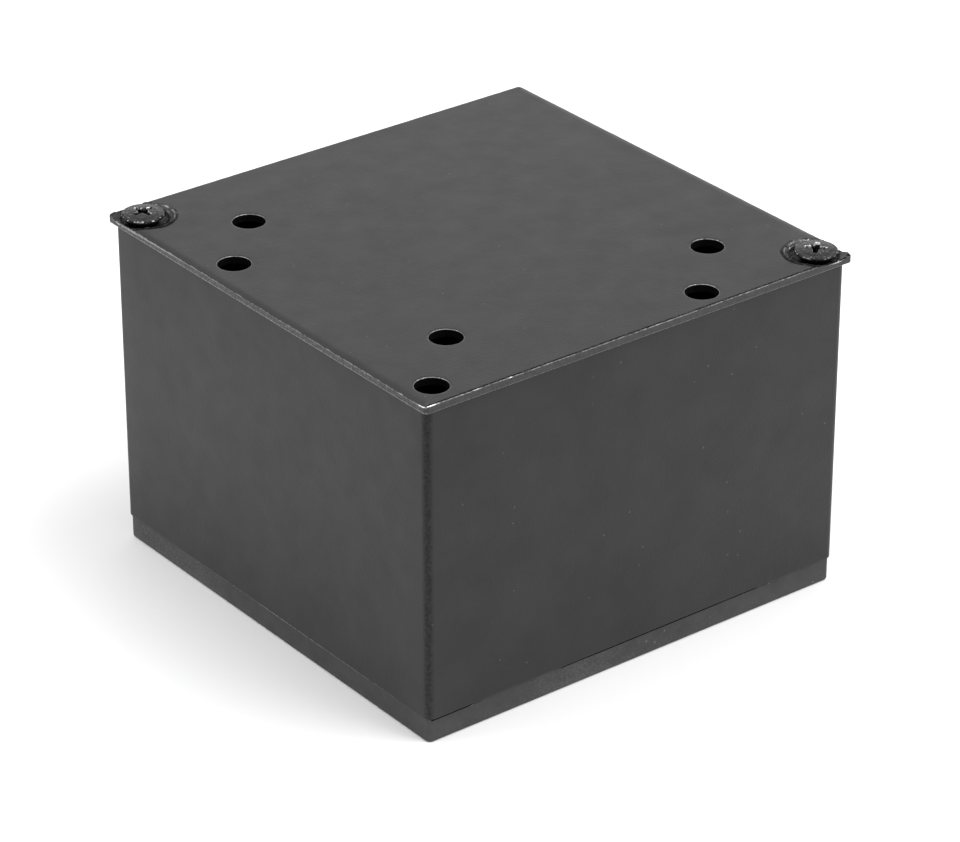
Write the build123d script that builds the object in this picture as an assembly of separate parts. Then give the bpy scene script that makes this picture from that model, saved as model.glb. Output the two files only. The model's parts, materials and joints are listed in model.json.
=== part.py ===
from build123d import *
import os
from math import cos, radians, sin

# Low square furniture leg: a punched steel plate is held by two screws on a
# short length of extruded square tube, and a moulded cap closes the tube's
# lower end and stands on the floor.
# The origin is on the floor under the middle of the leg, with +Z up and the
# plate's edges along X and Y. The front corner is the one at -X, -Y. The
# screws are in the corners at -X, +Y and at +X, -Y.

# Overall height, from the floor to the top of the plate
leg_height = 70.0

# Mounting plate, blanked and punched from sheet
plate_side = 100.0
plate_thickness = 1.6
plate_corner_radius = 0.9
plate_roll_width = 0.7        # the blanking die rolls the upper edge down
plate_roll_depth = 0.18

# Fixing holes: two groups of three, each in the shape of an L
hole_diameter = 6.4
hole_roll = 0.35              # rounded rim where the punch went in
hole_pitch = 61.5             # from the corner hole of a group to the other two
inner_hole_inset = 19.4       # corner hole to the front edges of the plate
outer_hole_inset = 6.0
outer_hole_skew = 0.65        # degrees: the outer group sits a little askew

# Dished seats for the two screws
seat_inset = 4.85             # seat centre to both edges of its corner
seat_radius = 5.75            # the dish is cut by the plate's edges
seat_depth = 1.2
screw_hole_radius = 2.5

# Tube, extruded with a screw port in two corners
plate_overhang = 0.85         # plate beyond the tube on every side
tube_wall = 1.2
tube_corner_radius = 1.7
tube_inner_radius = 0.6
port_wall = 1.25
port_bore_radius = 1.75
port_mouth = 0.3              # least chamfer at the bore's upper end
port_slot_width = 1.5

# Base cap, moulded
cap_inset = 0.43              # cap flange inside the tube's outer faces
flange_height = 5.05
flange_lower_round = 0.7
flange_upper_round = 0.25
flange_floor = 2.4
flange_corner_radius = 1.6
foot_rim_width = 9.0          # the part of the underside that stands
foot_recess_depth = 0.5
skirt_height = 12.0           # above the flange
skirt_thickness = 1.8
skirt_clearance = 0.35        # between the skirt and the tube
skirt_lead_in = 0.8
skirt_port_clearance = 1.5    # from the end of a skirt wall to a port
ledge_thickness = 1.5         # flange inside the skirt, before the hollow
crush_rib_count = 3           # on each skirt wall
crush_rib_width = 1.4
crush_rib_clearance = 0.03
crush_rib_drop = 1.5          # ribs stop short of the skirt's top
floor_rib_thickness = 1.4     # two ribs cross in the middle of the floor
floor_rib_height = 6.0

# Screws, raised countersunk, self-tapping
head_radius = 4.1
head_land = 0.2
dome_height = 0.5
screw_length = 16.0           # from the head's land to the point
shank_clearance = 0.03        # between the shank and the port's bore
tip_length = 3.0
tip_radius = 0.3
recess_span = 4.7             # across the wings of the cross
recess_floor_span = 1.5
recess_wing_thickness = 1.0
recess_depth = 2.2
recess_turns = (8.0, 40.0)    # degrees, how each screw was left
seat_gap = 0.02               # between the head's cone and its seat

# Sizes that follow from the ones above
plate_bottom = leg_height - plate_thickness
plate_half = plate_side / 2
tube_side = plate_side - 2 * plate_overhang
tube_bore_side = tube_side - 2 * tube_wall
port_centre = plate_half - seat_inset
port_radius = port_bore_radius + port_wall
port_reach = port_centre - port_radius
screw_places = [(-port_centre, port_centre), (port_centre, -port_centre)]
overcut = 1.0                 # how far cutting tools pass the faces they cut

# The head's 90 degree cone comes to rest on the inner edge of its seat, and
# where the cone is still wider than the bore, the bore's mouth makes room
shank_radius = port_bore_radius - shank_clearance
land_bottom = leg_height - seat_depth + head_radius - screw_hole_radius + seat_gap
land_top = land_bottom + head_land
neck_height = land_bottom - (head_radius - shank_radius)
mouth_depth = max(port_mouth, plate_bottom - neck_height)


def hole_group(inset, skew):
    """Centres of three holes in an L whose corner hole lies near the front corner."""
    corner = inset - plate_half
    along = hole_pitch * cos(radians(skew))
    aside = hole_pitch * sin(radians(skew))
    return [
        (corner, corner),
        (corner + along, corner - aside),
        (corner + aside, corner + along),
    ]


def ring_walls(side, thickness, length, height, base):
    """Four straight upright walls on the sides of a square, with open corners."""
    offset = (side - thickness) / 2
    wall = Box(length, thickness, height, align=(Align.CENTER, Align.CENTER, Align.MIN))
    walls = Part()
    for quarter in range(4):
        walls += Rot(0, 0, 90 * quarter) * Pos(0, -offset, base) * wall
    return walls


def make_plate():
    outline = RectangleRounded(plate_side, plate_side, plate_corner_radius)
    plate = Pos(0, 0, plate_bottom) * extrude(outline, plate_thickness)
    top = plate.faces().sort_by(Axis.Z)[-1]
    plate = chamfer(top.edges(), plate_roll_width, plate_roll_depth, reference=top)

    places = hole_group(inner_hole_inset, 0.0) + hole_group(outer_hole_inset, outer_hole_skew)
    for x, y in places:
        punch = Cylinder(hole_diameter / 2, plate_thickness + 2 * overcut)
        plate -= Pos(x, y, plate_bottom + plate_thickness / 2) * punch
    hole_rims = (
        plate.edges()
        .filter_by(GeomType.CIRCLE)
        .filter_by_position(Axis.Z, leg_height - hole_roll / 2, leg_height + hole_roll / 2)
        .filter_by(lambda edge: abs(edge.radius - hole_diameter / 2) < hole_roll / 2)
    )
    plate = fillet(hole_rims, hole_roll)

    for x, y in screw_places:
        dish_side = [
            (0, leg_height - seat_depth),
            (screw_hole_radius, leg_height - seat_depth),
            (seat_radius, leg_height),
            (seat_radius, leg_height + overcut),
            (0, leg_height + overcut),
        ]
        dish = revolve(Plane.XZ * make_face(Polyline(*dish_side, close=True)), Axis.Z)
        drill = Cylinder(screw_hole_radius, plate_thickness + 2 * overcut)
        plate -= Pos(x, y, 0) * dish
        plate -= Pos(x, y, plate_bottom + plate_thickness / 2) * drill
    return plate


def make_tube():
    outline = RectangleRounded(tube_side, tube_side, tube_corner_radius)
    profile = outline - RectangleRounded(tube_bore_side, tube_bore_side, tube_inner_radius)
    for x, y in screw_places:
        away = (1 if x > 0 else -1, 1 if y > 0 else -1)
        # The corner is filled up to the port's centre, so the port is carried by both walls
        reach = tube_side / 2 - port_centre
        block = Pos(x + away[0] * reach / 2, y + away[1] * reach / 2) * Rectangle(reach, reach)
        profile += (block + Pos(x, y) * Circle(port_radius)) & outline
    for x, y in screw_places:
        slot_length = port_radius + overcut
        slot = Pos(x, y) * Rot(0, 0, 135 if x > 0 else -45) * Pos(slot_length / 2, 0)
        profile -= Pos(x, y) * Circle(port_bore_radius)
        profile -= slot * Rectangle(slot_length, port_slot_width)
    tube = Pos(0, 0, flange_height) * extrude(profile, plate_bottom - flange_height)
    for x, y in screw_places:
        mouth = Cone(port_bore_radius, port_bore_radius + mouth_depth, mouth_depth)
        tube -= Pos(x, y, plate_bottom - mouth_depth / 2) * mouth
    return tube


def make_cap():
    flange_side = tube_side - 2 * cap_inset
    skirt_side = tube_bore_side - 2 * skirt_clearance
    flange = extrude(RectangleRounded(flange_side, flange_side, flange_corner_radius), flange_height)
    flange = fillet(flange.faces().sort_by(Axis.Z)[0].outer_wire().edges(), flange_lower_round)
    flange = fillet(flange.faces().sort_by(Axis.Z)[-1].outer_wire().edges(), flange_upper_round)

    # The flange is hollow from above inside the skirt, and its underside stands on a rim
    hollow_side = skirt_side - 2 * (skirt_thickness + ledge_thickness)
    hollow = extrude(RectangleRounded(hollow_side, hollow_side, flange_corner_radius), flange_height)
    recess_side = flange_side - 2 * foot_rim_width
    recess = extrude(RectangleRounded(recess_side, recess_side, flange_corner_radius), foot_recess_depth)
    cap = flange - Pos(0, 0, flange_floor) * hollow - recess

    # The skirt's walls end before the tube's corners, so the cap clears the screw ports
    wall_length = 2 * (port_reach - skirt_port_clearance)
    walls = ring_walls(skirt_side, skirt_thickness, wall_length, skirt_height, flange_height)
    skirt_top = walls.faces().filter_by(Axis.Z).sort_by(Axis.Z)[-4:]
    lead_edges = skirt_top.edges().filter_by(
        lambda edge: max(abs(edge.center().X), abs(edge.center().Y)) > skirt_side / 2 - skirt_thickness / 4
    )
    cap += chamfer(lead_edges, skirt_lead_in, skirt_lead_in / 2)

    # Crush ribs grip the tube, and a cross of two ribs keeps the floor flat
    rib_depth = skirt_clearance - crush_rib_clearance
    rib_height = skirt_height - skirt_lead_in - crush_rib_drop
    rib = Box(crush_rib_width, rib_depth, rib_height, align=(Align.CENTER, Align.MAX, Align.MIN))
    rib_step = wall_length / (crush_rib_count + 1)
    for quarter in range(4):
        for number in range(crush_rib_count):
            along = (number + 1) * rib_step - wall_length / 2
            cap += Rot(0, 0, 90 * quarter) * Pos(along, -skirt_side / 2, flange_height) * rib

    bar = Box(hollow_side, floor_rib_thickness, floor_rib_height, align=(Align.CENTER, Align.CENTER, Align.MIN))
    for turn in (0, 90):
        cap += Pos(0, 0, flange_floor) * Rot(0, 0, turn) * bar
    return cap


def make_screw(x, y, turn):
    crown = land_top + dome_height
    point = land_top - screw_length
    side = Polyline(
        (head_radius, land_top),
        (head_radius, land_bottom),
        (shank_radius, neck_height),
        (shank_radius, point + tip_length),
        (tip_radius, point),
        (0, point),
        (0, crown),
    )
    dome = TangentArc((0, crown), (head_radius, land_top), tangent=(1, 0))
    body = revolve(Plane.XZ * make_face(side + dome), Axis.Z)

    wing_side = Polyline(
        (-recess_span / 2, crown),
        (recess_span / 2, crown),
        (recess_floor_span / 2, crown - recess_depth),
        (-recess_floor_span / 2, crown - recess_depth),
        close=True,
    )
    wing = extrude(Plane.XZ * make_face(wing_side), recess_wing_thickness / 2, both=True)
    cross = wing + Rot(0, 0, 90) * wing
    return Pos(x, y, 0) * Rot(0, 0, turn) * (body - cross)


def make_screws():
    screws = [make_screw(x, y, turn) for (x, y), turn in zip(screw_places, recess_turns)]
    return Compound(children=screws)


def main():
    os.makedirs("parts", exist_ok=True)
    nodes = {
        "mounting_plate": make_plate(),
        "leg_tube": make_tube(),
        "base_cap": make_cap(),
        "plate_screw_pair": make_screws(),
    }
    for name, shape in nodes.items():
        export_step(shape, f"parts/{name}.step")
        size = shape.bounding_box().size
        print(f"{name}: {size.X:.2f} x {size.Y:.2f} x {size.Z:.2f} mm, {shape.volume:.0f} cubic mm")


main()
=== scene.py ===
# %% [markdown]
# # A low square furniture leg
# This lesson dresses a finished construction model of a small black furniture leg. The leg is four pieces: a punched
# steel plate on top, a length of square tube, a moulded cap under it, and two screws that hold the plate to the tube.
# The construction model says where everything is and how large it is. What is made here is what light needs to see:
# edges rolled by the punch, a coat of paint with its fine grain, scuffs, and the ragged seats of the two screws.

# %% The frame
import json
import math

import bmesh
import bpy
from mathutils import Matrix, Vector, geometry, noise


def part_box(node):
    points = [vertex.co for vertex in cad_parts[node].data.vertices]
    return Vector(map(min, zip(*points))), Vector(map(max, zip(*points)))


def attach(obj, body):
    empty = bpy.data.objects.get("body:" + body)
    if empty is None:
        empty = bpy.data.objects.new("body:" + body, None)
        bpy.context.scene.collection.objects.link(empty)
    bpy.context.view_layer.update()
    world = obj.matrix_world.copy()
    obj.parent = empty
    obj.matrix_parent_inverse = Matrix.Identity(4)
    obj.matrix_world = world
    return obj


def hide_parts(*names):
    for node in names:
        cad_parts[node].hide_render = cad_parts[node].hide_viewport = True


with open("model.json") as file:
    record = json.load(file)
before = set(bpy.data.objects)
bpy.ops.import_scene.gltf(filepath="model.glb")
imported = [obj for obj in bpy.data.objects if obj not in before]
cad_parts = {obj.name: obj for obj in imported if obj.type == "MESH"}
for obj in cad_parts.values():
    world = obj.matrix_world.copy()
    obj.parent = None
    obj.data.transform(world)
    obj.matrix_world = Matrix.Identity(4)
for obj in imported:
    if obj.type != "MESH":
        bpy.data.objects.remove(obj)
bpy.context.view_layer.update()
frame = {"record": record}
MM = 0.001

# %% [markdown]
# ## Camera
# A product picture of something this small is taken from some distance with a long lens, so that its edges stay nearly
# parallel. The camera stands in front of one corner and looks down on the plate. It is placed by a distance and two
# angles about a point inside the leg, because those are the numbers a photographer would change.

# %% Camera
AIM = Vector((0.0005, -0.0004, 0.0301))
CAMERA_DISTANCE = 0.802
CAMERA_TURN = math.radians(37.8)      # from straight in front, towards -X
CAMERA_RISE = math.radians(27.98)
LENS = 156.1
SENSOR_WIDTH = 36.0

camera_data = bpy.data.cameras.new("camera")
camera_data.lens = LENS
camera_data.sensor_width = SENSOR_WIDTH
camera_data.clip_start = 0.05
camera_data.clip_end = 20.0
camera = bpy.data.objects.new("camera", camera_data)
bpy.context.scene.collection.objects.link(camera)
away = Vector((
    -math.sin(CAMERA_TURN) * math.cos(CAMERA_RISE),
    -math.cos(CAMERA_TURN) * math.cos(CAMERA_RISE),
    math.sin(CAMERA_RISE),
))
camera.location = AIM + away * CAMERA_DISTANCE
camera.rotation_euler = (-away).to_track_quat("-Z", "Y").to_euler()
bpy.context.scene.camera = camera
print("camera at", [round(v, 3) for v in camera.location])

# %% [markdown]
# ## Floor and light
# Nearly black paint shows almost nothing of its own colour, so what the eye reads is what is mirrored in it. The room
# is pale, and two strong soft panels hang high in it, behind the left corner and in front of the right side. They
# whiten the floor, and the sides mirror that floor and fade downward into the leg's own shadow. Low panels would light
# the sides more easily, but seen from behind the leg they would be mirrored in the plate and make it white. Only one
# is low: a weak one behind the leg. The camera sees it at a grazing angle in the plate, which is why the plate is
# brighter towards the back.

# %% Floor and light
scene = bpy.context.scene
scene.view_settings.view_transform = "Standard"
scene.view_settings.look = "None"

ROOM_BRIGHTNESS = 0.58
world = bpy.data.worlds.new("studio_room")
world.use_nodes = True
room = world.node_tree.nodes["Background"].inputs
room["Color"].default_value = (1.0, 1.0, 1.0, 1.0)
room["Strength"].default_value = ROOM_BRIGHTNESS
scene.world = world

FLOOR_HALF = 3.0
FLOOR_TONE = (0.86, 0.86, 0.86, 1.0)
floor_mesh = bpy.data.meshes.new("floor")
floor_corners = [(x * FLOOR_HALF, y * FLOOR_HALF, 0) for x, y in ((-1, -1), (1, -1), (1, 1), (-1, 1))]
floor_mesh.from_pydata(floor_corners, [], [(0, 1, 2, 3)])
floor = bpy.data.objects.new("floor", floor_mesh)
scene.collection.objects.link(floor)
floor_paint = bpy.data.materials.new("floor_paint")
floor_paint.use_nodes = True
floor_look = floor_paint.node_tree.nodes["Principled BSDF"].inputs
floor_look["Base Color"].default_value = FLOOR_TONE
floor_look["Roughness"].default_value = 0.9
floor_mesh.materials.append(floor_paint)

PANEL_DISTANCE = 1.0
PANEL_SIDE = 0.7


def soft_panel(name, turn, rise, power):
    """A square soft source that faces the leg. turn is in degrees from +Y towards +X, rise is above the floor."""
    data = bpy.data.lights.new(name, "AREA")
    data.shape = "SQUARE"
    data.size = PANEL_SIDE
    data.energy = power
    panel = bpy.data.objects.new(name, data)
    scene.collection.objects.link(panel)
    turn = math.radians(turn)
    rise = math.radians(rise)
    toward = Vector((math.sin(turn) * math.cos(rise), math.cos(turn) * math.cos(rise), math.sin(rise)))
    panel.location = AIM + toward * PANEL_DISTANCE
    panel.rotation_euler = (-toward).to_track_quat("-Z", "Y").to_euler()


soft_panel("left_back_high", -45, 60, 5.6)
soft_panel("right_high", 142, 60, 9.9)
soft_panel("behind_low", 38, 12, 1.2)

# %% [markdown]
# ## Sizes from the frame
# Every piece below has to lie exactly where the construction model has it. The boxes of the four nodes give the
# heights and outer sizes, and the record's mounts give the places of the six fixing holes. From here
# on, sizes are in millimetres, and a mesh is brought to metres when it is made.

# %% Sizes from the frame


def node_box(name):
    """Lowest and highest corner of a node in millimetres."""
    return [Vector([round(v / MM, 3) for v in corner]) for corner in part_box(name)]


def fixing_holes():
    """Places of the plate's round holes, from the record's mounts."""
    places = set()
    for mount in frame["record"]["mounts"]:
        x, y = [v / MM for v in mount["pos_m"][:2]]
        step_x = mount["dims"].get("spacing_x_mm", 0) / 2
        step_y = mount["dims"].get("spacing_y_mm", 0) / 2
        if mount["kind"] in ("bore", "bolt_pattern"):
            places.add((round(x - step_x, 3), round(y - step_y, 3)))
            places.add((round(x + step_x, 3), round(y + step_y, 3)))
    return sorted(places)


plate_low, plate_high = node_box("mounting_plate")
tube_low, tube_high = node_box("leg_tube")
_, cap_high = node_box("base_cap")
screws_low, screws_high = node_box("plate_screw_pair")
HOLES = fixing_holes()
HOLE_RADIUS = 3.2
HEAD_RADIUS = 4.1
screw_reach = screws_high.x - HEAD_RADIUS
SCREWS = [(-screw_reach, screw_reach), (screw_reach, -screw_reach)]
print("fixing holes:", HOLES)
print("screws:", [(round(x, 2), round(y, 2)) for x, y in SCREWS])

# %% [markdown]
# ## Small tools
# A few helpers serve all the pieces. One walks round a square with rounded corners, which is the outline of every
# piece here. Three turn points and faces into a finished object that rides with the leg, with values on its points for
# the materials to read. The last ones add a node and join it up in a single line, so that a material or a geometry
# tree reads from top to bottom like a recipe.

# %% Small tools
WELD = 0.001                          # points closer than this are one
SLACK = 0.01                          # what a test of place allows for rounding


def square_loop(half, radius, side_steps=1, corner_steps=8):
    """Points round a square with rounded corners, counter-clockwise, each with its outward direction."""
    straight = half - radius
    loop = []
    for quarter in range(4):
        turn = Matrix.Rotation(math.radians(90 * quarter), 2)
        for step in range(corner_steps):
            angle = math.radians(90 * step / corner_steps)
            out = Vector((math.cos(angle), math.sin(angle)))
            loop.append((turn @ (Vector((straight, straight)) + out * radius), turn @ out))
        for step in range(side_steps):
            place = Vector((straight * (1 - 2 * step / side_steps), half))
            loop.append((turn @ place, turn @ Vector((0, 1))))
    return loop


def circle_loop(x, y, radius, steps):
    """Points round a circle, counter-clockwise."""
    angles = [2 * math.pi * step / steps for step in range(steps)]
    return [(x + radius * math.cos(a), y + radius * math.sin(a)) for a in angles]


def bridge(first, second, count):
    """Faces between two loops of the same count that start at these points."""
    steps = range(count)
    return [(first + i, first + (i + 1) % count, second + (i + 1) % count, second + i) for i in steps]


def add_ring(points, faces, above, ring):
    """Adds a loop of points, joined to the loop that starts at above, and says where it starts."""
    start = len(points)
    points += ring
    faces += bridge(above, start, len(ring))
    return start


def add_tip(points, faces, above, count, tip):
    """Closes a loop with one point."""
    points.append(tip)
    faces += [(above + i, above + (i + 1) % count, len(points) - 1) for i in range(count)]


def finish_mesh(mesh, sharp_angle=40.0, merge=False):
    """Turns the faces outward and shades smoothly between sharp edges. merge joins doubled points first."""
    shape = bmesh.new()
    shape.from_mesh(mesh)
    if merge:
        bmesh.ops.remove_doubles(shape, verts=shape.verts, dist=WELD * MM)
    bmesh.ops.recalc_face_normals(shape, faces=shape.faces)
    shape.to_mesh(mesh)
    shape.free()
    mesh.shade_smooth()
    mesh.set_sharp_from_angle(angle=math.radians(sharp_angle))
    return mesh


def make_mesh(name, points, faces, sharp_angle=40.0):
    """A finished mesh in metres from points in millimetres."""
    mesh = bpy.data.meshes.new(name)
    mesh.from_pydata([Vector(p) * MM for p in points], [], faces)
    return finish_mesh(mesh, sharp_angle)


def limited(value):
    """The value, held between 0 and 1."""
    return min(1.0, max(0.0, value))


def hump(distance, width, power=2):
    """1 where the distance is 0, falling smoothly to 0 over about two widths."""
    return math.exp(-(distance / width) ** power)


def band(value, stretch, power=2):
    """1 in the middle of a stretch, which is given by its middle and its half width, and falling smoothly to 0."""
    middle, width = stretch
    return hump(value - middle, width, power)


def wander(place, size, level):
    """A noise from about -1 to 1 with patches of this size. level picks one of many such noises."""
    return noise.noise(Vector((place.x / size, place.y / size, level)))


def set_field(mesh, name, values):
    """Gives each point a value that a material can read by this name."""
    mesh.attributes.new(name, "FLOAT", "POINT").data.foreach_set("value", values)


def add_piece(name, mesh, node, paints):
    """An object for a finished mesh. It rides with the leg and stands for a node of the frame."""
    for paint in paints:
        if paint.name not in mesh.materials:
            mesh.materials.append(paint)
    piece = bpy.data.objects.new(name, mesh)
    scene.collection.objects.link(piece)
    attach(piece, "root")
    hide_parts(node)
    low, high = [[round(pick(v.co[axis] for v in mesh.vertices) / MM, 2) for axis in range(3)] for pick in (min, max)]
    mesh.calc_loop_triangles()
    print(name, "from", low, "to", high, "with", len(mesh.loop_triangles), "triangles")


print("points round a square of 8 steps a corner:", len(square_loop(1.0, 0.2)))

# %% Nodes in one line


def fill(tree, node, inputs):
    """Gives a node's inputs their values or links them to sockets. Inputs go by name or number."""
    for key, value in inputs.items():
        if isinstance(value, bpy.types.NodeSocket):
            tree.links.new(value, node.inputs[key])
        else:
            node.inputs[key].default_value = value


def add_node(tree, kind, inputs=None, **settings):
    """A node with its settings made and its inputs filled."""
    node = tree.nodes.new(kind)
    for key, value in settings.items():
        setattr(node, key, value)
    fill(tree, node, inputs or {})
    return node


def add_math(tree, operation, first, second):
    """The result of a math node."""
    return add_node(tree, "ShaderNodeMath", {0: first, 1: second}, operation=operation).outputs[0]


def add_vector(tree, x=0.0, y=0.0, z=0.0):
    """The result of a node that makes a vector from three numbers."""
    return add_node(tree, "ShaderNodeCombineXYZ", {"X": x, "Y": y, "Z": z}).outputs[0]


print("materials so far:", len(bpy.data.materials))

# %% [markdown]
# ## Paint, plastic and steel
# The plate and the tube wear the same matte powder coat: nearly black, with a grain that is felt more than seen, and
# slow pale and dark patches where the coat is a little thicker or thinner; the plate's sides get a lighter copy of it,
# as painted light. Each layer is a noise at its own real scale. The meshes say where more happened, by values on their
# points. Where the wear value is high the coat is rubbed through to steel, and on the hole rims towards the front and
# on the plate's left side that is also painted highlight. Where the shade value is high the coat is painted black
# without shine, as painted shade. The cap is a greyer plastic with dust in its scratches and a painted shadow under the
# tube, and the screws are blackened steel, bright where a driver bit and painted black deep in the recess as painted
# shade.

# %% Layers of a material
COAT_SHINE = 0.4                      # a little below the usual 0.5, which stands for an index of 1.5
DULL_SHINE = 0.05
# the tone in which shade is painted black
PAINTED_SHADE_TONE = 0.002
MIDDLE = (0.3, 0.7)                   # nearly all of a noise's values lie in this range


def grey(tone, extra_blue=0.0):
    """A grey as a colour with its alpha."""
    return (tone, tone, tone + extra_blue, 1)


def new_paint(name):
    """A new material with its tree and the object's coordinates."""
    paint = bpy.data.materials.new(name)
    paint.use_nodes = True
    coords = add_node(paint.node_tree, "ShaderNodeTexCoord").outputs["Object"]
    return paint, paint.node_tree, coords


def finish_paint(paint, inputs):
    """Fills the material's main shader."""
    fill(paint.node_tree, paint.node_tree.nodes["Principled BSDF"], inputs)
    return paint


def add_noise(tree, coords, size, detail=2.0):
    """A noise between 0 and 1 with patches of this size in millimetres."""
    texture = add_node(tree, "ShaderNodeTexNoise", {"Vector": coords, "Scale": 1 / (size * MM), "Detail": detail})
    return texture.outputs["Fac"]


def add_range(tree, value, start=(0.0, 1.0), end=(0.0, 1.0)):
    """The value brought from the first range to the second."""
    limits = {"From Min": start[0], "From Max": start[1], "To Min": end[0], "To Max": end[1]}
    return add_node(tree, "ShaderNodeMapRange", {"Value": value, **limits}).outputs["Result"]


def over(tree, mask, under, colour):
    """The colour under, with another laid over it where the mask is 1."""
    return add_node(tree, "ShaderNodeMix", {0: mask, 6: under, 7: colour}, data_type="RGBA").outputs[2]


def speck_mask(tree, coords, *, spacing, size, share):
    """1 inside a few small round specks and 0 elsewhere. spacing and size are in millimetres."""
    cells = add_node(tree, "ShaderNodeTexVoronoi", {"Vector": coords, "Scale": 1 / (spacing * MM)})
    near = add_math(tree, "LESS_THAN", cells.outputs["Distance"], size / 2 / spacing)
    pick = add_node(tree, "ShaderNodeSeparateColor", {"Color": cells.outputs["Color"]})
    chosen = add_math(tree, "LESS_THAN", pick.outputs["Red"], share)
    return add_math(tree, "MULTIPLY", near, chosen)


def field_mask(tree, coords, field, patch, *, start, rise):
    """Rises from 0 to 1 where one of the mesh's fields times a noise of this patch size passes the start."""
    amount = add_node(tree, "ShaderNodeAttribute", attribute_name=field).outputs["Fac"]
    total = add_math(tree, "MULTIPLY", amount, add_noise(tree, coords, patch))
    return add_range(tree, total, (start, start + rise))


def patchy_tone(tree, coords, dark, light, patch):
    """A grey that drifts between two others over patches of this size in millimetres."""
    return over(tree, add_range(tree, add_noise(tree, coords, patch, 4.0), MIDDLE), dark, light)


def grain_bump(tree, coords, layers):
    """A normal with noise layers on it. Each layer is a size and a depth in millimetres."""
    normal = None
    for size, depth in layers:
        heights = {"Height": add_noise(tree, coords, size), "Distance": depth * MM}
        if normal is not None:
            heights["Normal"] = normal
        normal = add_node(tree, "ShaderNodeBump", heights).outputs["Normal"]
    return normal


def painted_shade_look(tree, shade_mask, colour, shine, dull_shine=DULL_SHINE):
    """Colour and shine for the main shader, both nearly gone where the mask of painted shade is 1."""
    return {
        "Base Color": over(tree, shade_mask, colour, grey(PAINTED_SHADE_TONE)),
        "Specular IOR Level": add_range(tree, shade_mask, end=(shine, dull_shine)),
    }


print("tones go down to", PAINTED_SHADE_TONE, "and the shine to", DULL_SHINE)

# %% Powder coat
COAT_BLUE = 0.02                      # how much bluer than grey the coat is, as a share of its tone
DUST_TONE = 0.05
# The coat is rubbed to these steel tones where the wear value is high; on the hole rims towards the front and the
# plate's left side that is painted highlight.
STEEL_TONE = 0.27
POLISHED_TONE = 0.9
BARE_METAL = 0.8                      # a rubbed edge keeps some paint
DULL_COAT_SHINE = 0.08
COAT_ROUGHNESS = (0.4, 0.46)
COAT_GRAIN = [(1.1, 0.012), (0.32, 0.038)]


def powder_coat(name, dark, light, patch, painted_shade_rise=None):
    """Matte powder coat on steel or aluminium: rubbed through where the mesh says so, in places as painted highlight,
    and painted black as painted shade.
    """
    paint, tree, coords = new_paint(name)
    colour = patchy_tone(tree, coords, grey(dark, COAT_BLUE * dark), grey(light, COAT_BLUE * light), patch)
    colour = over(tree, speck_mask(tree, coords, spacing=3.0, size=0.4, share=0.3), colour, grey(DUST_TONE))
    # rubbed through to steel, and painted highlight where the mesh paints one
    worn_and_highlit = field_mask(tree, coords, "wear", 0.5, start=0.22, rise=0.3)
    colour = over(tree, worn_and_highlit, colour, grey(STEEL_TONE, 0.005))
    polished_and_highlit = field_mask(tree, coords, "wear", 0.5, start=0.7, rise=0.4)
    colour = over(tree, polished_and_highlit, colour, grey(POLISHED_TONE))
    # painted shade: the coat goes black and loses its shine where the mesh asks for it
    if painted_shade_rise:
        painted_shade = field_mask(tree, coords, "painted_shade", 0.6, start=0.3, rise=painted_shade_rise)
        look = painted_shade_look(tree, painted_shade, colour, COAT_SHINE, DULL_COAT_SHINE)
    else:
        look = {"Base Color": colour, "Specular IOR Level": COAT_SHINE}
    return finish_paint(paint, {
        **look,
        "Metallic": add_math(tree, "MULTIPLY", worn_and_highlit, BARE_METAL),
        "Roughness": add_range(tree, add_noise(tree, coords, 5.0, 3.0), MIDDLE, COAT_ROUGHNESS),
        "Normal": grain_bump(tree, coords, COAT_GRAIN),
    })


plate_coat = powder_coat("plate_coat", 0.0055, 0.0112, 9.0, painted_shade_rise=0.15)
# A lighter copy of the coat for the plate's sides, for the light they catch: painted light
lit_edge_coat = powder_coat("lit_edge_coat", 0.0145, 0.032, 0.8)
tube_coat = powder_coat("tube_coat", 0.0055, 0.0112, 9.0, painted_shade_rise=0.9)
print("coats:", plate_coat.name, lit_edge_coat.name, tube_coat.name)

# %% Plastic and steel
SCUFF_TONE = 0.075
FLECK_TONE = 0.1
RUBBED_TONE = 0.7
LINT_TONE = 0.2
STEEL_SHINE = 0.2


def moulded_plastic(name):
    """Greyish black plastic, dusty, with fine scratches that run along the floor, and a painted shadow in the groove
    under the tube.
    """
    paint, tree, coords = new_paint(name)
    colour = patchy_tone(tree, coords, grey(0.025, 0.001), grey(0.042, 0.001), 4.0)
    along = add_node(tree, "ShaderNodeMapping", {"Vector": coords, "Scale": (1.0, 1.0, 2.0)}).outputs["Vector"]
    scuffed = field_mask(tree, along, "scuff", 0.6, start=0.4, rise=0.4)
    colour = over(tree, scuffed, colour, grey(SCUFF_TONE))
    colour = over(tree, speck_mask(tree, coords, spacing=2.2, size=0.5, share=0.35), colour, grey(FLECK_TONE))
    # painted shadow in the groove under the tube
    groove_shadow = field_mask(tree, coords, "groove_shadow", 6.0, start=0.3, rise=0.1)
    return finish_paint(paint, {
        **painted_shade_look(tree, groove_shadow, colour, COAT_SHINE),
        "Roughness": 0.5,
        "Normal": grain_bump(tree, coords, [(1.5, 0.01), (0.3, 0.006)]),
    })


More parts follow.
